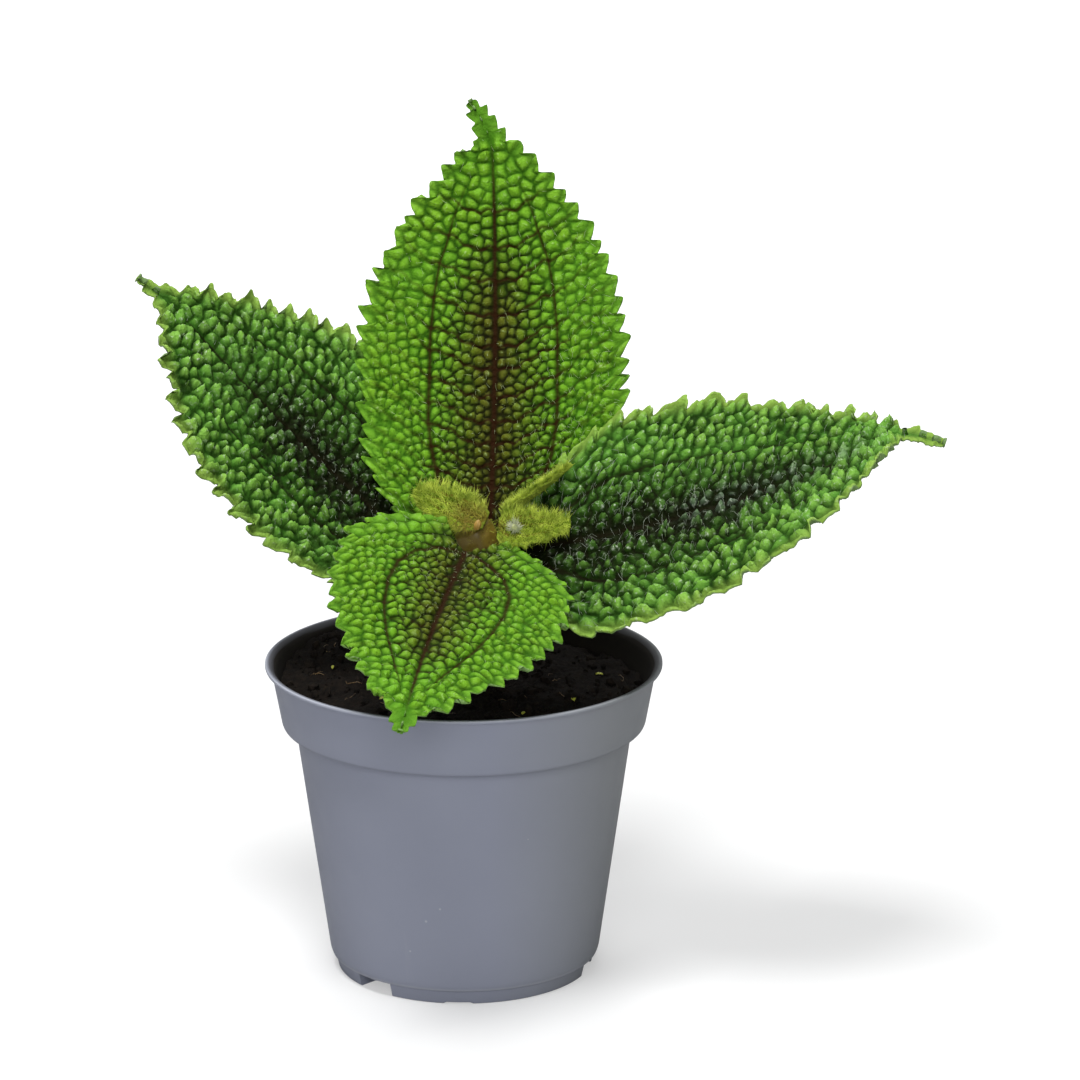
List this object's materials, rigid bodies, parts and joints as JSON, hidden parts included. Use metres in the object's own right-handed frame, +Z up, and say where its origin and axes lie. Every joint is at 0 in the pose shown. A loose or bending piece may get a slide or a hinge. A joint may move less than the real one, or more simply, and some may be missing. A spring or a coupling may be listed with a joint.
{
  "type": "potted pilea",
  "caption": "Young moon valley pilea with blistered, toothed leaves, growing from dark peat in a small grey tapered nursery pot.",
  "frame": {"origin": "centre of the pot's flat underside, on the pot's axis", "axes": "+Z up along the pot's axis, +X to the right and -Y to the front as the plant is shown"},
  "size_m": [0.1219, 0.0822, 0.1273],
  "materials": {
    "pot": "satin moulded plastic",
    "soil": "matte damp peat; wood's density is close to that of moist peat",
    "stem": "matte fleshy brown-green stem",
    "petiole": "matte hairy green stalk",
    "leaf_light": "satin blistered bright green leaf with maroon veins",
    "leaf_dark": "satin blistered dark green leaf with brown veins",
    "young_leaf": "matte downy yellow-green leaf",
    "shoot_tip": "matte downy pale bud",
    "stipule": "matte papery orange-brown scale"
  },
  "bodies": {
    "root": {"pot": "pot", "soil": "soil", "stem": "stem", "petiole_left": "petiole", "petiole_right": "petiole", "petiole_back": "petiole", "petiole_front": "petiole", "leaf_back": "leaf_light", "leaf_left": "leaf_dark", "leaf_right": "leaf_dark", "leaf_front": "leaf_light", "young_leaf_left": "young_leaf", "young_leaf_right": "young_leaf", "young_leaf_rear": "young_leaf", "shoot_tip": "shoot_tip", "stipule": "stipule"}
  },
  "joints": []
}
